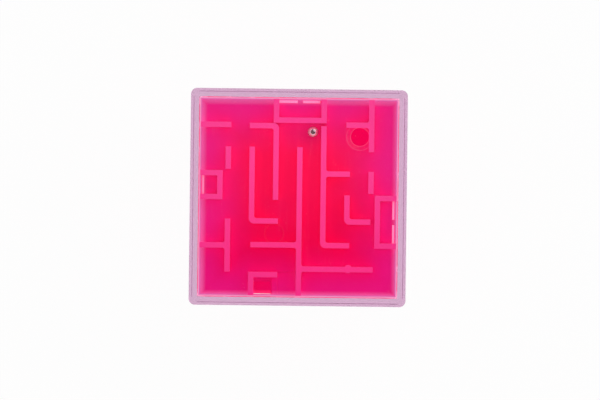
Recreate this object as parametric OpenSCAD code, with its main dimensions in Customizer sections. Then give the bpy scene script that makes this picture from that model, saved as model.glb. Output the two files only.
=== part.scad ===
// Pocket maze cube: a clear case around six maze trays, with one steel ball in the corridors between
// the trays and the case. The top and bottom trays are flat plates. The four side trays stand between
// them and meet on mitres along the upright edges.

/* [Clear case] */
// Outside edge length of the case
case_size = 40; // [38:0.5:46]
// Thickness of the case walls and of the base with its plug
case_wall = 1.55; // [1.3:0.05:2]
// Radius of the four upright corners
corner_round = 1.2; // [0.6:0.1:1.6]
// Radius of the edges around the top and bottom faces
edge_round = 0.2; // [0.1:0.05:0.8]
// Height of the base's flange, which shows below the cover
base_flange = 0.9; // [0.6:0.1:1.2]
// Gap around the base's plug in the mouth of the cover
plug_gap = 0.05; // [0.02:0.01:0.1]
// Gap of the glue seam between the cover and the base's flange
seam_gap = 0.03; // [0.02:0.01:0.06]

/* [Maze trays] */
// Gap between the trays and the inside of the case
tray_gap = 0.1; // [0.05:0.05:0.3]
// Gap that a side tray leaves to each of its neighbours
mitre_gap = 0.02; // [0.01:0.01:0.05]
// Thickness of a tray's floor
floor_t = 1.2; // [0.8:0.1:1.6]
// Height of the maze walls on the top and bottom trays
wall_h = 2.4; // [2.2:0.1:2.8]
// Height of the maze walls on the side trays
side_wall_h = 2.7; // [2.5:0.1:3]
// Thickness of the maze walls
wall_t = 1; // [0.7:0.05:1.2]
// Depth to which the maze walls stand in the floor
wall_root = 0.3; // [0.2:0.05:0.5]
// Radius of the fillets where walls meet
fillet_r = 0.45; // [0.2:0.05:0.6]
// Width of the lip around the top and bottom trays
lip_w = 0.4; // [0.3:0.05:0.6]
// Height of that lip above the floor
lip_h = 0.8; // [0.4:0.1:1.2]
// Width of the flat top of a side tray's flared rims
rim_w = 0.9; // [0.7:0.05:1.1]
// Distance from the cube's edge to the outermost line of the wall grid
grid_margin = 0.75; // [0.5:0.05:0.9]
// Distance by which the wall grid of the top and bottom trays lies to the right of the middle
grid_shift = 0.2; // [0:0.05:0.4]

/* [Ports] */
// Width of the bar that stays between a side tray's window and the cube's edge
window_bar = 0.5; // [0.4:0.05:0.7]
// Reach of a narrow window from the cube's edge
slot_reach = 0.9; // [0.8:0.05:1.2]
// Reach of a wide window from the cube's edge
port_reach = 3.6; // [3:0.05:3.8]
// Reach of the sill beside the top tray's wide window
sill_reach = 4.55; // [4.2:0.05:4.7]
// Depth of that sill
sill_depth = 0.15; // [0.1:0.05:0.3]
// Diameter of the round port through a floor
drop_d = 3.35; // [2.6:0.05:3.35]
// Diameter of the round port's countersink
sink_d = 5; // [4:0.1:5.4]
// Depth of the round port's countersink
sink_depth = 0.2; // [0.1:0.05:0.5]
// Diameter of the moulding pin's mark on the top tray
pin_mark_d = 3.4; // [2:0.1:4]
// Depth of the moulding pin's mark
pin_mark_depth = 0.1; // [0.05:0.05:0.3]
// Diameter of the boss that a moulding pin leaves on a wall
pin_boss_d = 1.5; // [1.3:0.05:1.8]

/* [Ball] */
// Diameter of the steel ball
ball_d = 2; // [1.5:0.1:2]
// Height at which the ball rides above the floor
ball_lift = 0.05; // [0.02:0.01:0.1]

/* [Hidden] */
$fn = 48;

clear_colour = [0.88, 0.82, 0.92, 0.35];
pink_colour = [1, 0.1, 0.42];
steel_colour = [0.72, 0.72, 0.74];

cut = 1;

// Levels are counted outwards from the centre of the cube
cavity_half = case_size / 2 - case_wall;
maze_half = cavity_half - tray_gap;
plate_floor = maze_half - wall_h;
plate_under = plate_floor - floor_t;
side_half = plate_under - mitre_gap;
side_floor = maze_half - side_wall_h;
core_half = side_floor - floor_t;

// Faces, with the turn that brings a tray from the top to each of them
TOP = 0;
FRONT = 1;
RIGHT = 2;
BACK = 3;
LEFT = 4;
BOTTOM = 5;
face_turn = [[0, 0, 0], [90, 0, 0], [90, 0, 90], [90, 0, 180], [90, 0, 270], [180, 0, 0]];

// Edges of a face, clockwise as seen from outside, with the turn that brings a cut from the upper edge
UP = 0;
EAST = 1;
DOWN = 2;
WEST = 3;
edge_turn = [0, -90, 180, 90];
edge_shift = [grid_shift, 0, -grid_shift, 0];

// Windows through the top and bottom plates into the corridors of the side trays: the face, its edge,
// the first and last grid line clockwise, and the window's reach
plate_windows = [
  [TOP, UP, 3, 5, slot_reach],
  [TOP, EAST, 4, 6, slot_reach],
  [TOP, DOWN, 5, 6, port_reach],
  [TOP, WEST, 4, 5, slot_reach],
  [BOTTOM, UP, 5, 6, slot_reach],
  [BOTTOM, EAST, 3, 5, slot_reach],
  [BOTTOM, DOWN, 5, 6, slot_reach],
  [BOTTOM, WEST, 3, 4, port_reach]
];

// Windows through the rims of two side trays, from the right-hand edge of the first to the left-hand
// edge of the other: the faces, the first and last row line, and the window's reach
side_windows = [
  [FRONT, RIGHT, 5, 6, port_reach],
  [RIGHT, BACK, 2, 3, port_reach],
  [BACK, LEFT, 4, 5, port_reach],
  [LEFT, FRONT, 3, 4, slot_reach]
];

// Walls of each tray: every run is a list of grid points, columns from the left and rows from the top.
// The corners of a run are round, and those of a boxed pocket are square.
function boxed(run) = [for (k = [1 : len(run) - 1]) [run[k - 1], run[k]]];

top_runs = [
  [[0, 0.97], [1, 0.97]],
  [[2, 1], [3, 1], [3, 4]],
  [[1, 2], [1, 2.72]],
  [[2, 2], [2, 5], [3, 5]],
  [[4, 2], [4, 8]],
  [[5, 1.11], [5, 6], [6, 6]],
  [[5, 3], [6, 3]],
  [[6, 4], [6, 5], [6.88, 5]],
  [[7, 0], [7, 1.95]],
  [[6.05, 0.94], [7, 0.94]],
  [[7, 3], [7, 3.7]],
  [[4, 7], [7, 7]],
  [[1, 5.03], [1, 7.03]],
  [[0, 6.03], [1, 6.03]],
  [[2.08, 6], [4, 6]],
  each boxed([[3, 0], [3, 0.76], [5, 0.76], [5, 0]]),
  each boxed([[8, 4], [7.28, 4], [7.28, 6], [8, 6]]),
  each boxed([[2, 8], [2, 7.25], [3, 7.25]]),
  each boxed([[0, 3], [0.66, 3], [0.66, 4], [0, 4]])
];
front_runs = [
  [[1, 0], [1, 2], [2, 2]],
  [[4, 0], [4, 1], [5, 1]],
  [[6, 1], [8, 1]],
  [[5, 2], [7, 2], [7, 3]],
  [[3, 2], [3, 4], [4, 4]],
  [[4, 3], [6, 3], [6, 4]],
  [[7, 4], [8, 4]],
  [[2, 3], [2, 5], [1, 5]],
  [[5, 4], [5, 6], [4, 6]],
  [[6, 5], [6, 6.5]],
  [[3, 5], [3, 6]],
  [[0, 6], [1, 6]],
  [[2, 6], [2, 7], [4, 7]],
  [[7, 7], [7, 8]],
  [[2, 0], [2, 0.75]],
  [[3, 0], [3, 0.75]],
  [[8, 5], [7.25, 5]],
  [[8, 6], [7.25, 6]],
  each boxed([[5, 8], [5, 7.25], [6, 7.25], [6, 8]]),
  each boxed([[0, 3], [0.75, 3], [0.75, 4], [0, 4]])
];
right_runs = [
  [[1, 0], [1, 3]],
  [[5, 0], [5, 2], [4, 2]],
  [[6, 1], [7, 1]],
  [[2, 2], [3, 2], [3, 4]],
  [[6, 2], [6, 4], [5, 4]],
  [[4, 3], [4, 5], [3, 5]],
  [[0, 4], [1, 4]],
  [[2, 4], [2, 6]],
  [[7, 4], [7, 6]],
  [[5, 5], [6, 5], [6, 6]],
  [[3, 6], [5, 6]],
  [[1, 7], [2, 7]],
  [[6, 7], [8, 7]],
  each boxed([[2, 0], [2, 0.75], [4, 0.75], [4, 0]]),
  [[8, 2], [7.25, 2]],
  [[8, 3], [7.25, 3]],
  each boxed([[3, 8], [3, 7.25], [5, 7.25], [5, 8]]),
  [[0, 5], [0.75, 5]],
  [[0, 6], [0.75, 6]]
];
back_runs = [
  [[1, 0], [1, 1], [2, 1]],
  [[6, 0], [6, 2], [5, 2]],
  [[7, 1], [7, 3]],
  [[2, 2], [4, 2], [4, 3]],
  [[2, 3], [2, 5], [3, 5]],
  [[3, 3], [3, 4]],
  [[5, 3], [5, 5], [4, 5]],
  [[6, 3], [6, 5]],
  [[1, 4], [1, 6], [2, 6]],
  [[4, 6], [6, 6]],
  [[3, 6], [3, 8]],
  [[0, 7], [2, 7]],
  [[7, 7], [8, 7]],
  each boxed([[3, 0], [3, 0.75], [5, 0.75], [5, 0]]),
  [[8, 4], [7.25, 4]],
  [[8, 5], [7.25, 5]],
  each boxed([[5, 8], [5, 7.25], [6, 7.25], [6, 8]]),
  [[0, 2], [0.75, 2]],
  [[0, 3], [0.75, 3]]
];
left_runs = [
  [[2, 0], [2, 2]],
  [[1, 1], [1, 3], [2, 3]],
  [[5, 0], [5, 1], [6, 1]],
  [[7, 0], [7, 1]],
  [[3, 2], [5, 2], [5, 4]],
  [[6, 2], [7, 2]],
  [[4, 3], [4, 5]],
  [[6, 3], [6, 5], [5, 5]],
  [[2, 4], [3, 4], [3, 6]],
  [[7, 5], [8, 5]],
  [[2, 5], [2, 7], [1, 7]],
  [[5, 6], [7, 6], [7, 7]],
  [[5, 7], [5, 8]],
  each boxed([[3, 0], [3, 0.75], [4, 0.75], [4, 0]]),
  each boxed([[8, 3], [7.25, 3], [7.25, 4], [8, 4]]),
  [[3, 8], [3, 7.25]],
  [[4, 8], [4, 7.25]],
  [[0, 4], [0.75, 4]],
  [[0, 5], [0.75, 5]]
];
bottom_runs = [
  [[1, 0], [1, 2]],
  [[2, 1], [4, 1], [4, 3]],
  [[7, 0], [7, 2], [6, 2]],
  [[2, 2], [3, 2], [3, 4]],
  [[5, 2], [5, 4], [6, 4]],
  [[1, 3], [2, 3], [2, 4]],
  [[4, 4], [4, 6], [3, 6]],
  [[2, 5], [2, 6], [1, 6]],
  [[5, 5], [5, 7], [6, 7]],
  [[6, 5], [6, 6], [7, 6]],
  [[0, 7], [1, 7]],
  [[4, 7], [4, 8]],
  [[7, 7], [8, 7]],
  each boxed([[5, 0], [5, 0.75], [6, 0.75], [6, 0]]),
  each boxed([[8, 3], [7.25, 3], [7.25, 5], [8, 5]]),
  each boxed([[2, 8], [2, 7.25], [3, 7.25], [3, 8]]),
  [[0, 4], [0.75, 4]],
  [[0, 5], [0.75, 5]]
];

// Cells along a face, as the walls above are drawn, and their size
cells = max([for (run = top_runs, p = run) max(p)]);
pitch = 2 * (maze_half - grid_margin) / cells;
side_pitch = 2 * side_half / cells;

// Centres on the grid of the round ports, the moulding pin's marks, the sill and the ball
top_drop = [6.517, 1.425];
bottom_drop = [5.5, 5.5];
pin_mark = [2.955, 5.527];
pin_boss = [6.08, 6.98];
top_sill = [DOWN, 4, 5];
ball_rest = [4.544, 1.234];

// Place of a grid line; the outermost lines lie on the tray's edge. The rows of a side tray are closer.
function line_at(k) = k <= 0 ? -maze_half : k >= cells ? maze_half : (k - cells / 2) * pitch;
function row_at(k) = (k - cells / 2) * side_pitch;
function plate_point(p) = [line_at(p[0]) + grid_shift, -line_at(p[1])];
function side_point(p) = [line_at(p[0]), -row_at(p[1])];

// Ends of runs that meet the side of another wall, as the point and the way from there along the run
function is_within(p, a, b) =
  abs(cross(b - a, p - a)) < 0.001 && (p - a) * (b - a) > 0 && (p - b) * (a - b) > 0;
function ends_of(run) = [[run[0], run[1]], [run[len(run) - 1], run[len(run) - 2]]];
function joins_of(runs) = [
  for (run = runs, e = ends_of(run), other = runs, k = [1 : len(other) - 1])
    if (is_within(e[0], other[k - 1], other[k]))
      [e[0], (e[1] - e[0]) / norm(e[1] - e[0])]
];

module rounded_square(w, h, r) {
  square([w, h - 2 * r], center = true);
  square([w - 2 * r, h], center = true);
  for (x = [-1, 1], y = [-1, 1])
    translate([x * (w / 2 - r), y * (h / 2 - r)])
      circle(r);
}

// The case's outside shape as one block, with rounded corners and edges
module case_block() {
  translate([0, 0, case_size / 2])
    intersection() {
      linear_extrude(height = case_size, center = true)
        rounded_square(case_size, case_size, corner_round);
      intersection_for(turn = [0, 90])
        rotate([90, 0, turn])
          linear_extrude(height = case_size, center = true)
            rounded_square(case_size, case_size, edge_round);
    }
}

// Square box around the upright axis between two heights
module square_box(width, low, high) {
  translate([-width / 2, -width / 2, low])
    cube([width, width, high - low]);
}

module clear_cover() {
  color(clear_colour)
    difference() {
      case_block();
      square_box(2 * cavity_half, -cut, case_size - case_wall);
      square_box(case_size + 2 * cut, -cut, base_flange + seam_gap);
    }
}

module clear_base() {
  color(clear_colour) {
    intersection() {
      case_block();
      square_box(case_size + 2 * cut, -cut, base_flange);
    }
    square_box(2 * (cavity_half - plug_gap), base_flange, case_wall);
  }
}

// Rectangle between two corners in the plan of the walls
module wall_patch(a, b) {
  translate([min(a[0], b[0]), min(a[1], b[1])])
    square([abs(a[0] - b[0]), abs(a[1] - b[1])]);
}

// Straight wall between two points; each end stops short of its point or passes it by half a thickness
module wall_stretch(a, b, reach_a, reach_b) {
  along = (b - a) / norm(b - a);
  half = [abs(along[1]), abs(along[0])] * wall_t / 2;
  wall_patch(a - along * reach_a - half, b + along * reach_b + half);
}

// Fillet in a corner between two walls, on the side of a diagonal way; it is drawn a little large,
// so that it ends inside the walls
module wall_fillet(corner, way) {
  difference() {
    wall_patch(corner - way * wall_t / 2, corner + way * fillet_r);
    translate(corner + way * fillet_r)
      circle(fillet_r * 1.02);
  }
}

// Corner of a wall, round on the outside of the bend and with a fillet on the inside
module wall_corner(before, at, after) {
  arrive = (at - before) / norm(at - before);
  leave = (after - at) / norm(after - at);
  inside = at + (leave - arrive) * wall_t / 2;
  half = [wall_t, wall_t] / 2;
  intersection() {
    wall_patch(at - half, at + half);
    translate(inside)
      circle(wall_t);
  }
  wall_fillet(inside, leave - arrive);
}

// Fillets on both sides of a wall that meets the side of another
module join_fillets(at, along) {
  for (side = [-1, 1]) {
    way = along + side * [-along[1], along[0]];
    wall_fillet(at + way * wall_t / 2, way);
  }
}

module wall_run(points) {
  last = len(points) - 1;
  half = wall_t / 2;
  for (k = [1 : last])
    wall_stretch(points[k - 1], points[k], k == 1 ? half : -half, k == last ? half : -half);
  for (k = [1 : 1 : last - 1])
    wall_corner(points[k - 1], points[k], points[k + 1]);
}

// All walls of one tray, rooted in its floor, with the round bosses that moulding pins leave on them
module maze_walls(floor_level, runs, bosses) {
  translate([0, 0, floor_level - wall_root])
    linear_extrude(height = maze_half - floor_level + wall_root) {
      for (run = runs)
        wall_run(run);
      for (join = joins_of(runs))
        join_fillets(join[0], join[1]);
      for (at = bosses)
        translate(at)
          circle(d = pin_boss_d);
    }
}

// Lip around the edge of a plate
module plate_lip() {
  translate([0, 0, plate_floor - wall_root])
    linear_extrude(height = lip_h + wall_root)
      difference() {
        square(2 * maze_half, center = true);
        square(2 * (maze_half - lip_w), center = true);
      }
}

// Cuts the stretch between two grid lines beside a plate's lip, from a level upwards
module plate_cut(edge, first, last, reach, low) {
  from = line_at(first) + wall_t / 2 + edge_shift[edge];
  to = line_at(last) - wall_t / 2 + edge_shift[edge];
  rotate([0, 0, edge_turn[edge]])
    translate([from, maze_half - reach, low])
      cube([to - from, reach - lip_w, plate_floor + cut - low]);
}

// One window for each cell between two grid lines of a plate's edge
module plate_window(edge, first, last, reach) {
  for (k = [first : last - 1])
    plate_cut(edge, k, k + 1, reach, plate_under - cut);
}

// Round hole through a plate with a countersink around it, which widens on above the floor
module drop_cut(cell) {
  widening = (sink_d - drop_d) / sink_depth;
  translate(plate_point(cell)) {
    translate([0, 0, plate_under - cut])
      cylinder(d = drop_d, h = floor_t + 2 * cut);
    translate([0, 0, plate_floor - sink_depth])
      cylinder(d1 = drop_d, d2 = sink_d + widening * cut, h = sink_depth + cut);
  }
}

module pin_mark_cut() {
  translate(concat(plate_point(pin_mark), plate_floor - pin_mark_depth))
    cylinder(d = pin_mark_d, h = pin_mark_depth + cut);
}

// Puts a tray that is drawn upwards from the cube's centre on its face
module on_face(face) {
  color(pink_colour)
    translate([0, 0, case_size / 2])
      rotate(face_turn[face])
        children();
}

// Top or bottom tray. The children are cut out of its floor.
module plate_tray(face, runs, bosses = []) {
  on_face(face)
    intersection() {
      square_box(2 * maze_half, plate_under, maze_half);
      union() {
        difference() {
          square_box(2 * maze_half, plate_under, plate_floor);
          for (w = plate_windows)
            if (w[0] == face)
              plate_window(w[1], w[2], w[3], w[4]);
          children();
        }
        plate_lip();
        maze_walls(plate_floor, [for (run = runs) [for (p = run) plate_point(p)]], bosses);
      }
    }
}

// Block of a side tray between two levels, with sides that lean outwards at 45 degrees
module side_block(low, high, inset, half) {
  side = [[inset - low, low], [low - inset, low], [high - inset, high], [inset - high, high]];
  rotate([90, 0, 0])
    linear_extrude(height = 2 * half, center = true)
      polygon(side);
}

// One window for each cell between two row lines of a side tray's right-hand or left-hand edge
module side_window(hand, first, last, reach) {
  near = hand * (maze_half - reach);
  far = hand * (maze_half - window_bar);
  for (k = [first : last - 1])
    translate([min(near, far), wall_t / 2 - row_at(k + 1), core_half - cut])
      cube([abs(far - near), side_pitch - wall_t, maze_half - core_half + 2 * cut]);
}

module side_tray(face, runs) {
  on_face(face)
    intersection() {
      side_block(core_half, maze_half, mitre_gap, side_half);
      union() {
        difference() {
          side_block(core_half, maze_half, 0, side_half + cut);
          side_block(side_floor, maze_half + cut, rim_w, side_half + 2 * cut);
          for (w = side_windows) {
            if (w[0] == face)
              side_window(1, w[2], w[3], w[4]);
            if (w[1] == face)
              side_window(-1, w[2], w[3], w[4]);
          }
        }
        maze_walls(side_floor, [for (run = runs) [for (p = run) side_point(p)]], []);
      }
    }
}

module maze_top() {
  plate_tray(TOP, top_runs, [plate_point(pin_boss)]) {
    drop_cut(top_drop);
    pin_mark_cut();
    plate_cut(top_sill[0], top_sill[1], top_sill[2], sill_reach, plate_floor - sill_depth);
  }
}

module maze_bottom() {
  plate_tray(BOTTOM, bottom_runs)
    drop_cut(bottom_drop);
}

module maze_front() {
  side_tray(FRONT, front_runs);
}

module maze_right() {
  side_tray(RIGHT, right_runs);
}

module maze_back() {
  side_tray(BACK, back_runs);
}

module maze_left() {
  side_tray(LEFT, left_runs);
}

module steel_ball() {
  color(steel_colour)
    translate([0, 0, case_size / 2 + plate_floor + ball_lift + ball_d / 2])
      translate(plate_point(ball_rest))
        sphere(d = ball_d);
}

clear_cover();
clear_base();
maze_top();
maze_bottom();
maze_front();
maze_right();
maze_back();
maze_left();
steel_ball();
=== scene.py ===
"""Pocket maze cube: six pink maze trays and a steel ball inside a clear case.

The solids keep their shapes. This script gives them their finishes, and adds a white floor,
soft light and a camera that looks straight down on the top tray.
"""

import functools
import math

import bpy
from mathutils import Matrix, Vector

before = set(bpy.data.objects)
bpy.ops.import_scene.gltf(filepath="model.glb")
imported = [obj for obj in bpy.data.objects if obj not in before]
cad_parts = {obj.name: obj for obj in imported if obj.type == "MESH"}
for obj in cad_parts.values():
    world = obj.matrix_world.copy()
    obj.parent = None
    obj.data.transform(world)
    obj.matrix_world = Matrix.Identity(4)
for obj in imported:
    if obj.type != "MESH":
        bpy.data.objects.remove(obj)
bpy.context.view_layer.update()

MM = 0.001

# Levels and reaches of the trays, measured from the middle of the cube
CUBE_CENTRE = 20 * MM
MAZE_HALF = 18.35 * MM
PLATE_FLOOR = 15.95 * MM
PLATE_WALLS = 2.4 * MM
SIDE_FLOOR = 15.65 * MM
SIDE_WALLS = 2.7 * MM
LEDGE_LEVEL = 12.47 * MM
LEDGE_STRIPES = {"X": (17.35 * MM, 17.85 * MM), "Y": (17.55 * MM, 18.1 * MM)}
BALL_CENTRE_LEVEL = 37 * MM

# Painted highlights on the top tray's floor, around its round port and the pin's mark: centre,
# radius and strength of each pale line
PORT_CENTRE = (11.275 * MM, 11.33 * MM, 0)
PIN_CENTRE = (-4.398 * MM, -6.719 * MM, 0)
FLOOR_RING_GLINTS = (
    (PORT_CENTRE, 1.74 * MM, 0.13),
    (PORT_CENTRE, 2.48 * MM, 0.1),
    (PIN_CENTRE, 1.8 * MM, 0.025),
)
RING_LINE = (0.11 * MM, 0.04 * MM)

# Bands on a tray, each from where it begins to where it is full
EDGE_BAND = (7 * MM, 20 * MM)
NEAR_LIP_BAND = (MAZE_HALF - 1.4 * MM, MAZE_HALF - 0.3 * MM)
LIP_BAND = (MAZE_HALF - 0.3 * MM, MAZE_HALF - 0.03 * MM)
BRIGHT_SIDE_BAND = (MAZE_HALF - 2.2 * MM, MAZE_HALF - 0.9 * MM)
INSIDE_BAND = (13.7 * MM, 13.3 * MM)
SHEEN_BAND = (-15 * MM, 9 * MM)

# The same for shares of the wall height
LIP_HEIGHT_BAND = (0.2, 0.3)
WALL_TOP_BAND = (0.7, 0.95)
BRIGHT_TOP_BAND = (0.6, 0.95)

# How far the painted light band along the lip lies off the middle of a tray
LIP_LEAN = {"X": -0.15 * MM, "Y": 0.15 * MM, "Z": 0.15 * MM}

# Pinks of the trays, each pair from the darker to the paler end of a painted sheen along the tray;
# the border pinks are cooler, as painted light from the clear rim, and the wall pinks paler, as
# lit tops
FLOOR_MIDDLE = ((0.77, 0.0, 0.083, 1), (0.83, 0.01, 0.107, 1))
FLOOR_BORDER = ((0.77, 0.0085, 0.215, 1), (0.785, 0.018, 0.247, 1))
WALL_MIDDLE = ((0.93, 0.035, 0.21, 1), (0.96, 0.055, 0.265, 1))
WALL_BORDER = ((0.87, 0.032, 0.23, 1), (0.9, 0.053, 0.265, 1))
# Painted shade for sunk places: the port's hole, the pin's mark and the ledges behind the slits
RECESS_SHADE_PINK = (0.61, 0.002, 0.15, 1)
# Painted light along the lip and the floor beside it, where they lie against the clear case
PAINTED_NEAR_LIP_LIGHT = (0.74, 0.12, 0.38, 1)
PAINTED_LIP_LIGHT = (0.88, 0.36, 0.57, 1)
# Painted highlight on edges of the port, the pin's mark and the ledges
GLINT_PINK = (1.0, 0.36, 0.62, 1)
DUST_PINK = (1.0, 0.3, 0.5, 1)
# Painted shade in the corners at the foot of the walls
CORNER_SHADE_PINK = (0.6, 0.0, 0.03, 1)

# Clear plastic, steel, paper and light
CLEAR_SKIN = (0.985, 0.975, 0.99, 1)
CLEAR_SHADOW = (0.94, 0.92, 0.945, 1)
LILAC_TINT = (0.811, 0.474, 0.721, 1)
LILAC_DENSITY = 32.0
# Steel tinted pink as a painted reflection of the trays, bare and smudged
BARE_STEEL_PINK_SHEEN = (0.88, 0.7, 0.74, 1)
SMUDGED_STEEL_PINK_SHEEN = (0.78, 0.6, 0.64, 1)
# Painted shade for the ball's lower part
LOWER_SHADE_STEEL = (0.2, 0.17, 0.18, 1)
PAPER_WHITE = (0.93, 0.93, 0.93, 1)
WHITE = (1, 1, 1, 1)
BLACK = (0, 0, 0, 1)

# Hairline scratches: the directions they run in and how far they are drawn out
SCRATCH_TURNS = ((0.2, 0.1, 0.5), (0.9, 0.4, 2.1), (1.7, 1.1, 3.6))
SCRATCH_STRETCH = (1.0, 0.035, 0.3)

# Dark patches of the dome, as heights of the angles from straight up where they fade
LIGHT_PATCH = tuple(math.cos(math.radians(angle)) for angle in (31, 53))
MIRROR_PATCH = tuple(math.cos(math.radians(angle)) for angle in (47, 66))
DOME_STRENGTH = 1.2

FLOOR_HALF = 3.0
FLOOR_DROP = 0.02 * MM
CAMERA_PLACE = (0.33 * MM, -0.46 * MM, 0.94)
CAMERA_TURN = math.radians(0.7)
CAMERA_LENS = 293
CAMERA_SENSOR = 36
CAMERA_RANGE = 10
CLEAR_BOUNCES = 64
SHADOW_BOUNCES = 24

NODE_SPACING = 190
MIX_INPUTS = (0, 6, 7)
MIX_COLOUR = 2


# Shader building blocks


class Graph:
    """A node tree that is filled from left to right."""

    def __init__(self, tree):
        self.tree = tree
        self.column = 0

    def add(self, kind, settings=None, **values):
        """A new node with its settings, and values or links for its inputs."""
        node = self.tree.nodes.new(kind)
        node.location = (self.column * NODE_SPACING, 0)
        self.column += 1
        for name, value in (settings or {}).items():
            setattr(node, name, value)
        for name, value in values.items():
            self.feed(node, name.replace("_", " "), value)
        return node

    def feed(self, node, key, value):
        """Links or sets one input, which goes by its name or its number."""
        socket = node.inputs[key]
        if isinstance(value, bpy.types.NodeSocket):
            self.tree.links.new(value, socket)
        else:
            socket.default_value = value

    def math(self, operation, a, b=0.0, clamp=False):
        node = self.add("ShaderNodeMath", {"operation": operation, "use_clamp": clamp})
        self.feed(node, 0, a)
        self.feed(node, 1, b)
        return node.outputs[0]

    def product(self, *values):
        return functools.reduce(lambda a, b: self.math("MULTIPLY", a, b), values)

    def highest(self, *values):
        return functools.reduce(lambda a, b: self.math("MAXIMUM", a, b), values)

    def size_of(self, value):
        return self.math("ABSOLUTE", value)

    def ramp(self, value, low, high):
        """A soft step from 0 at low to 1 at high."""
        soft = {"interpolation_type": "SMOOTHSTEP"}
        node = self.add("ShaderNodeMapRange", soft, Value=value, From_Min=low, From_Max=high)
        return node.outputs[0]

    def spread(self, value, low, high):
        """A mask of 0 to 1, spread over low to high."""
        open_ended = {"clamp": False}
        node = self.add("ShaderNodeMapRange", open_ended, Value=value, To_Min=low, To_Max=high)
        return node.outputs[0]

    def mix(self, factor, a, b):
        node = self.add("ShaderNodeMix", {"data_type": "RGBA"})
        for key, value in zip(MIX_INPUTS, (factor, a, b)):
            self.feed(node, key, value)
        return node.outputs[MIX_COLOUR]

    def mix_shaders(self, factor, a, b):
        node = self.add("ShaderNodeMixShader")
        for key, value in enumerate((factor, a.outputs[0], b.outputs[0])):
            self.feed(node, key, value)
        return node.outputs[0]

    def noise(self, vector, scale, detail, roughness=0.5):
        values = {"Scale": scale, "Detail": detail, "Roughness": roughness}
        return self.add("ShaderNodeTexNoise", Vector=vector, **values).outputs["Fac"]

    def place(self):
        """The point on the surface, in the frame of the solids."""
        return self.add("ShaderNodeTexCoord").outputs["Object"]

    def axes(self, vector):
        return self.add("ShaderNodeSeparateXYZ", Vector=vector).outputs


def new_group(name, inputs, outputs, kind="NodeSocketFloat"):
    """A shader node group with number inputs and outputs of one kind, and the graph to fill it."""
    tree = bpy.data.node_groups.new(name, "ShaderNodeTree")
    for label, value in inputs.items():
        socket = tree.interface.new_socket(label, in_out="INPUT", socket_type="NodeSocketFloat")
        socket.default_value = value
    for label in outputs:
        tree.interface.new_socket(label, in_out="OUTPUT", socket_type=kind)
    graph = Graph(tree)
    return tree, graph, graph.add("NodeGroupInput").outputs


def close_group(graph, **results):
    end = graph.add("NodeGroupOutput")
    for name, value in results.items():
        graph.feed(end, name, value)


def make_moulded_grain():
    """Fine skin of moulded plastic.

    It puts out a grain height, slow flow clouds, sparse pale flecks, and a roughness that
    follows grain and clouds.
    """
    inputs = {
        "Grain Scale": 2600.0,
        "Cloud Scale": 90.0,
        "Roughness": 0.25,
        "Roughness Spread": 0.08,
    }
    outputs = ("Height", "Clouds", "Flecks", "Roughness")
    tree, g, given = new_group("Moulded Grain", inputs, outputs)
    place = g.place()
    grain = g.noise(place, given["Grain Scale"], 3.0, 0.6)
    clouds = g.noise(place, given["Cloud Scale"], 4.0, 0.55)
    both = g.math("ADD", g.product(grain, 0.6), g.product(clouds, 0.4))
    swing = g.product(g.math("SUBTRACT", both, 0.5), given["Roughness Spread"], 2.0)
    rough = g.math("ADD", given["Roughness"], swing, clamp=True)
    fleck_scale = g.product(given["Grain Scale"], 0.6)
    flecks = g.ramp(g.noise(place, fleck_scale, 1.0), 0.74, 0.8)
    close_group(g, Height=grain, Clouds=clouds, Flecks=flecks, Roughness=rough)
    return tree


def make_handling_marks():
    """Hairline scratches in three directions and soft smudges, as masks."""
    inputs = {"Scratch Scale": 420.0, "Scratch Amount": 0.5, "Smudge Scale": 130.0}
    tree, g, given = new_group("Handling Marks", inputs, ("Scratches", "Smudges"))
    place = g.place()
    hairs = []
    for turn in SCRATCH_TURNS:
        turned = g.add("ShaderNodeMapping", Vector=place, Rotation=turn, Scale=SCRATCH_STRETCH)
        lines = g.noise(turned.outputs[0], given["Scratch Scale"], 1.0, 0.4)
        off_line = g.size_of(g.math("SUBTRACT", lines, 0.5))
        hairs.append(g.ramp(off_line, 0.012, 0.0))
    patches = g.ramp(g.noise(place, given["Smudge Scale"], 3.0, 0.6), 0.46, 0.66)
    kept = g.product(given["Scratch Amount"], patches, g.highest(*hairs))
    smudge_scale = g.product(given["Smudge Scale"], 1.7)
    smudges = g.ramp(g.noise(place, smudge_scale, 4.0, 0.65), 0.48, 0.7)
    close_group(g, Scratches=kept, Smudges=smudges)
    return tree


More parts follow.
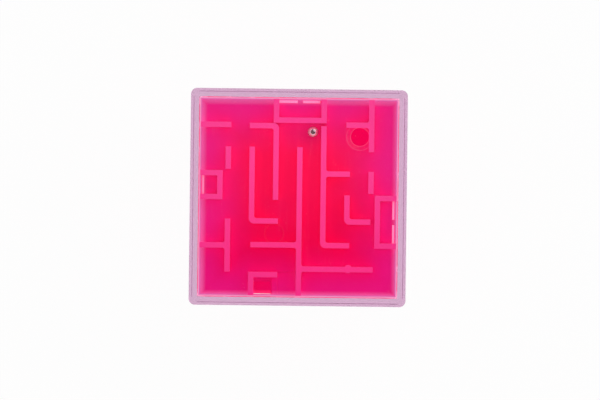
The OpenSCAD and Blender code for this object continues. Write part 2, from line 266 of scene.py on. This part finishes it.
def make_pink_dye_and_light():
    """Colour of the fluorescent pink, with painted light and shade.

    It is red in the middle of a face and cooler towards its edges, as painted light coming in
    through the clear rim. Wall tops and the lip are painted paler as lit, sunk places darker as
    painted shade, and one end paler as a painted sheen; pale lines at the port, the pin's mark and
    the ledges are painted highlights.
    """
    inputs = {
        "Height": 0.0,
        "Reach": 0.0,
        "Near Lip": 0.0,
        "Flow": 0.5,
        "Sunk": 0.0,
        "Pale": 0.0,
    }
    tree, g, given = new_group("Pink Dye And Painted Light", inputs, ("Color",), "NodeSocketColor")
    edge = g.ramp(given["Reach"], *EDGE_BAND)

    # Painted light: cooler towards the edges, and paler towards one end as a painted sheen
    def with_painted_light(middle, border):
        return g.mix(edge, g.mix(given["Flow"], *middle), g.mix(given["Flow"], *border))

    floor = with_painted_light(FLOOR_MIDDLE, FLOOR_BORDER)
    # Painted shade in sunk places
    floor = g.mix(given["Sunk"], floor, RECESS_SHADE_PINK)
    # Painted light on the floor next to the lip
    floor = g.mix(given["Near Lip"], floor, PAINTED_NEAR_LIP_LIGHT)
    # The wall tops are painted paler than the floor, as painted light
    wall = with_painted_light(WALL_MIDDLE, WALL_BORDER)
    colour = g.mix(g.ramp(given["Height"], *WALL_TOP_BAND), floor, wall)
    # Painted light on the top of the lip
    at_lip = g.ramp(given["Reach"], *LIP_BAND)
    lip_top = g.product(at_lip, g.ramp(given["Height"], *LIP_HEIGHT_BAND))
    colour = g.mix(lip_top, colour, PAINTED_LIP_LIGHT)
    # Painted highlights on the edges of the port, the pin's mark and the ledges
    close_group(g, Color=g.mix(given["Pale"], colour, GLINT_PINK))
    return tree


MOULDED_GRAIN = make_moulded_grain()
HANDLING_MARKS = make_handling_marks()
PINK_DYE_AND_LIGHT = make_pink_dye_and_light()


def use_group(graph, tree, **values):
    return graph.add("ShaderNodeGroup", {"node_tree": tree}, **values).outputs


def new_material(name):
    material = bpy.data.materials.new(name)
    material.use_nodes = True
    material.node_tree.nodes.clear()
    return material, Graph(material.node_tree)


# Pink plastic of the trays


def floor_ring_glints(g):
    """Painted highlights on the top tray's floor: thin pale lines around its round port and the
    pin's mark.
    """
    flat = g.add("ShaderNodeVectorMath", {"operation": "MULTIPLY"})
    g.feed(flat, 0, g.place())
    g.feed(flat, 1, (1, 1, 0))
    lines = []
    for centre, radius, strength in FLOOR_RING_GLINTS:
        away = g.add("ShaderNodeVectorMath", {"operation": "DISTANCE"})
        g.feed(away, 0, flat.outputs[0])
        g.feed(away, 1, centre)
        off_line = g.size_of(g.math("SUBTRACT", away.outputs["Value"], radius))
        lines.append(g.product(g.ramp(off_line, *RING_LINE), strength))
    above = g.math("SUBTRACT", g.axes(g.place())["Z"], CUBE_CENTRE + PLATE_FLOOR)
    from_below = g.ramp(above, -0.35 * MM, -0.25 * MM)
    up_to_floor = g.ramp(above, 0.1 * MM, 0.05 * MM)
    return g.product(from_below, up_to_floor, g.highest(*lines))


def upward_faces(g):
    """Mask of the faces that look up, as the ledges of the side trays do."""
    facing = g.add("ShaderNodeTexCoord").outputs["Normal"]
    return g.math("GREATER_THAN", g.axes(facing)["Z"], 0.5)


def ledge_glint(g, level, rise, stripe):
    """Painted highlight on the edge of the pocket walls that show through the slits of the top
    tray.
    """
    on_ledge = g.math("COMPARE", rise, LEDGE_LEVEL)
    g.feed(on_ledge.node, 2, 0.1 * MM)
    inner, outer = stripe
    begun = g.ramp(level, inner - 0.1 * MM, inner + 0.05 * MM)
    ended = g.ramp(level, outer - 0.05 * MM, outer + 0.1 * MM)
    return g.product(on_ledge, g.math("SUBTRACT", begun, ended, clamp=True))


def plate_shade_and_glints(g, level, reach, floor_level):
    """Painted shade in the sunk places, and painted highlight rings, in the floors of the top and
    the bottom tray.
    """
    shallow = g.ramp(level, floor_level - 0.03 * MM, floor_level - 0.09 * MM)
    deep = g.ramp(level, floor_level - 0.4 * MM, floor_level - 0.9 * MM)
    sunk = g.highest(g.product(shallow, 0.04), deep)
    return {"Sunk": g.product(sunk, g.ramp(reach, *INSIDE_BAND)), "Pale": floor_ring_glints(g)}


def ledge_shade_and_glints(g, level, rise, stripe):
    """Painted shade on the ledges of a side tray, deep behind the slits, with a painted highlight
    on their edge.
    """
    upward = upward_faces(g)
    glinting = g.product(upward, ledge_glint(g, level, rise, stripe))
    return {"Sunk": g.product(upward, 0.7), "Pale": glinting}


def daylight(g, height, reach):
    """Where light comes in freely: less of it in the corners at the foot of a tray's own walls."""
    own_walls = {"samples": 4, "only_local": True}
    open_sky = g.add("ShaderNodeAmbientOcclusion", own_walls, Distance=1.2 * MM).outputs["AO"]
    at_side = g.ramp(reach, *BRIGHT_SIDE_BAND)
    at_case = g.highest(g.ramp(height, *BRIGHT_TOP_BAND), at_side)
    return g.highest(g.ramp(open_sky, 0.12, 0.6), at_case)


def make_pink_plastic(name, outward, floor_level, wall_height):
    """Fluorescent pink, with a painted glow that stands in for light passing through the
    translucent plastic, for the trays that face along one axis.
    """
    material, g = new_material(name)
    axes = g.axes(g.place())
    rise = g.math("SUBTRACT", axes["Z"], CUBE_CENTRE)
    ways = {"X": axes["X"], "Y": axes["Y"], "Z": rise}
    level = g.size_of(ways.pop(outward))
    reach = g.highest(*(g.size_of(way) for way in ways.values()))
    height = g.math("DIVIDE", g.math("SUBTRACT", level, floor_level), wall_height, clamp=True)
    leaning = [g.math("ADD", way, LIP_LEAN[axis]) for axis, way in ways.items()]
    lip_reach = g.highest(*(g.size_of(way) for way in leaning))
    # The painted sheen grows paler along the last axis across the tray
    along_sheen = list(ways.values())[-1]
    if outward == "Z":
        places = plate_shade_and_glints(g, level, reach, floor_level)
    else:
        places = ledge_shade_and_glints(g, level, rise, LEDGE_STRIPES[outward])
    dyed_and_lit = use_group(
        g,
        PINK_DYE_AND_LIGHT,
        Height=height,
        Reach=reach,
        Near_Lip=g.ramp(lip_reach, *NEAR_LIP_BAND),
        Flow=g.ramp(along_sheen, *SHEEN_BAND),
        **places,
    )
    grain = use_group(g, MOULDED_GRAIN, Roughness=0.24, Roughness_Spread=0.1)
    marks = use_group(g, HANDLING_MARKS, Scratch_Scale=300.0, Scratch_Amount=0.2)
    specks = g.highest(grain["Flecks"], marks["Scratches"])
    dusty = g.mix(g.product(specks, 0.12), dyed_and_lit["Color"], DUST_PINK)
    tone = g.spread(grain["Clouds"], 0.94, 1.06)
    cloudy = g.add("ShaderNodeHueSaturation", Value=tone, Color=dusty).outputs[0]
    lit = daylight(g, height, reach)
    # Painted shade: deep red in the corners at the foot of the walls
    colour = g.mix(g.spread(lit, 0.45, 0.0), cloudy, CORNER_SHADE_PINK)
    # Painted glow: the emission stands in for light passing through the translucent pink, painted
    # darker in the corners at the foot of the walls
    glow = g.mix(g.spread(lit, 0.58, 0.0), colour, BLACK)
    soft_edge = g.add("ShaderNodeBevel", {"samples": 4}, Radius=0.1 * MM).outputs[0]
    bump = g.add("ShaderNodeBump", Strength=0.25, Distance=0.01 * MM, Normal=soft_edge)
    g.feed(bump, "Height", grain["Height"])
    skin = g.add(
        "ShaderNodeBsdfPrincipled",
        Base_Color=colour,
        Roughness=grain["Roughness"],
        IOR=1.49,
        Specular_IOR_Level=0.3,
        Emission_Color=glow,
        Emission_Strength=0.5,
        Normal=bump.outputs[0],
    )
    g.add("ShaderNodeOutputMaterial", Surface=skin.outputs[0])
    return material


# Clear plastic, steel and paper


def make_clear_plastic(name, marks_amount):
    """Clear moulded plastic with a lilac tint along its walls, and the marks of handling."""
    material, g = new_material(name)
    grain = use_group(
        g,
        MOULDED_GRAIN,
        Grain_Scale=700.0,
        Cloud_Scale=60.0,
        Roughness=0.015,
        Roughness_Spread=0.01,
    )
    marks = use_group(g, HANDLING_MARKS, Scratch_Amount=marks_amount)
    worn = g.product(marks["Scratches"], 0.12)
    greasy = g.product(marks["Smudges"], 0.015)
    rough = g.math("ADD", grain["Roughness"], g.math("ADD", worn, greasy), clamp=True)
    relief = g.math("SUBTRACT", grain["Clouds"], g.product(marks["Scratches"], 0.2))
    bump = g.add("ShaderNodeBump", Strength=0.025, Distance=0.05 * MM, Height=relief)
    clear = g.add(
        "ShaderNodeBsdfPrincipled",
        Base_Color=CLEAR_SKIN,
        Roughness=rough,
        IOR=1.5,
        Transmission_Weight=1.0,
        Normal=bump.outputs[0],
    )
    let_through = g.add("ShaderNodeBsdfTransparent", Color=CLEAR_SHADOW)
    rays = g.add("ShaderNodeLightPath").outputs
    soft_rays = g.highest(rays["Is Shadow Ray"], rays["Is Diffuse Ray"])
    surface = g.mix_shaders(soft_rays, clear, let_through)
    tint = g.add("ShaderNodeVolumeAbsorption", Color=LILAC_TINT, Density=LILAC_DENSITY)
    g.add("ShaderNodeOutputMaterial", Surface=surface, Volume=tint.outputs[0])
    return material


def make_polished_steel():
    """Steel with fine scratches and smudges, tinted pink as a painted reflection of the trays.

    It is duller on its flanks, and painted dark from above its girdle downwards, as painted shade:
    the shaded floor it mirrors.
    """
    material, g = new_material("ball_steel")
    marks = use_group(
        g,
        HANDLING_MARKS,
        Scratch_Scale=1800.0,
        Scratch_Amount=0.8,
        Smudge_Scale=900.0,
    )
    worn = g.product(marks["Scratches"], 0.2)
    rough = g.math("ADD", g.spread(marks["Smudges"], 0.16, 0.24), worn)
    rise = g.math("SUBTRACT", g.axes(g.place())["Z"], BALL_CENTRE_LEVEL)
    # Painted shade: dark from above the girdle downwards
    painted_lower_shade = g.ramp(rise, 0.45 * MM, 0.25 * MM)
    dulled = g.ramp(rise, 0.9 * MM, 0.6 * MM)
    # Pink tint as a painted reflection of the trays, with real smudges
    steel_with_pink_sheen = g.mix(marks["Smudges"], BARE_STEEL_PINK_SHEEN, SMUDGED_STEEL_PINK_SHEEN)
    bump = g.add("ShaderNodeBump", {"invert": True}, Strength=0.1, Distance=0.005 * MM)
    g.feed(bump, "Height", marks["Scratches"])
    steel = g.add(
        "ShaderNodeBsdfPrincipled",
        Base_Color=g.mix(painted_lower_shade, steel_with_pink_sheen, LOWER_SHADE_STEEL),
        Metallic=g.spread(dulled, 0.86, 0.45),
        Roughness=rough,
        Normal=bump.outputs[0],
    )
    g.add("ShaderNodeOutputMaterial", Surface=steel.outputs[0])
    return material


def make_white_floor():
    """Matt white paper, full white to the eye, in mirrors and through glass, with some shading."""
    material, g = new_material("white_floor")
    fibres = g.noise(g.place(), 900.0, 3.0)
    paper = g.add(
        "ShaderNodeBsdfPrincipled",
        Base_Color=PAPER_WHITE,
        Roughness=g.spread(fibres, 0.7, 0.9),
        Specular_IOR_Level=0.1,
    )
    glow = g.add("ShaderNodeEmission", Color=WHITE, Strength=1.0)
    rays = g.add("ShaderNodeLightPath").outputs
    mirrored = g.highest(rays["Is Glossy Ray"], rays["Is Transmission Ray"])
    seen = g.highest(rays["Is Camera Ray"], mirrored)
    surface = g.mix_shaders(g.product(seen, 0.96), paper, glow)
    g.add("ShaderNodeOutputMaterial", Surface=surface)
    return material


# Finishes on the solids


def finish_piece(node, material):
    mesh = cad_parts[node].data
    mesh.materials.clear()
    mesh.materials.append(material)


for name, outward, floor_level, wall_height, trays in (
    ("pink_plastic", "Z", PLATE_FLOOR, PLATE_WALLS, ("maze_top", "maze_bottom")),
    ("pink_plastic_front", "Y", SIDE_FLOOR, SIDE_WALLS, ("maze_front", "maze_back")),
    ("pink_plastic_side", "X", SIDE_FLOOR, SIDE_WALLS, ("maze_right", "maze_left")),
):
    pink = make_pink_plastic(name, outward, floor_level, wall_height)
    for tray in trays:
        finish_piece(tray, pink)
finish_piece("clear_cover", make_clear_plastic("clear_plastic", 0.5))
finish_piece("clear_base", make_clear_plastic("clear_base_plastic", 0.8))
finish_piece("steel_ball", make_polished_steel())


# Floor, light and camera


def add_floor():
    turns = ((-1, -1), (1, -1), (1, 1), (-1, 1))
    corners = [(x * FLOOR_HALF, y * FLOOR_HALF, 0) for x, y in turns]
    mesh = bpy.data.meshes.new("white_floor")
    mesh.from_pydata(corners, [], [(0, 1, 2, 3)])
    floor = bpy.data.objects.new("white_floor", mesh)
    floor.location.z = -FLOOR_DROP
    mesh.materials.append(make_white_floor())
    bpy.context.scene.collection.objects.link(floor)


def add_dome():
    """Soft light from all round, with a dark patch straight above.

    The patch is wider in mirrors, where it gives the ball its dark middle.
    """
    world = bpy.data.worlds.new("light_dome")
    bpy.context.scene.world = world
    world.use_nodes = True
    world.node_tree.nodes.clear()
    g = Graph(world.node_tree)
    rise = g.axes(g.add("ShaderNodeTexCoord").outputs["Generated"])["Z"]
    rays = g.add("ShaderNodeLightPath").outputs
    lighting = g.ramp(rise, *LIGHT_PATCH)
    mirrored = g.ramp(rise, *MIRROR_PATCH)
    dimmed = g.product(rays["Is Glossy Ray"], g.math("SUBTRACT", lighting, mirrored))
    level = g.math("SUBTRACT", lighting, dimmed)
    seen = g.highest(level, rays["Is Camera Ray"])
    light = g.add("ShaderNodeBackground", Color=WHITE, Strength=g.product(seen, DOME_STRENGTH))
    g.add("ShaderNodeOutputWorld", Surface=light.outputs[0])


def add_softbox(name, place, size, watts):
    lamp = bpy.data.lights.new(name, "AREA")
    lamp.shape = "SQUARE"
    lamp.size = size
    lamp.energy = watts
    box = bpy.data.objects.new(name, lamp)
    box.location = place
    aim = Vector((0, 0, CUBE_CENTRE)) - Vector(place)
    box.rotation_euler = aim.to_track_quat("-Z", "Y").to_euler()
    bpy.context.scene.collection.objects.link(box)


def add_camera():
    data = bpy.data.cameras.new("camera")
    data.lens = CAMERA_LENS
    data.sensor_width = CAMERA_SENSOR
    data.clip_end = CAMERA_RANGE
    camera = bpy.data.objects.new("camera", data)
    camera.location = CAMERA_PLACE
    camera.rotation_euler = (0, 0, CAMERA_TURN)
    bpy.context.scene.collection.objects.link(camera)
    bpy.context.scene.camera = camera


add_floor()
add_dome()
add_softbox("softbox_right", place=(0.35, 0.3, 0.45), size=0.6, watts=0.9)
add_camera()

scene = bpy.context.scene
scene.view_settings.view_transform = "Standard"
scene.cycles.max_bounces = CLEAR_BOUNCES
scene.cycles.transmission_bounces = CLEAR_BOUNCES
scene.cycles.glossy_bounces = CLEAR_BOUNCES
scene.cycles.transparent_max_bounces = SHADOW_BOUNCES
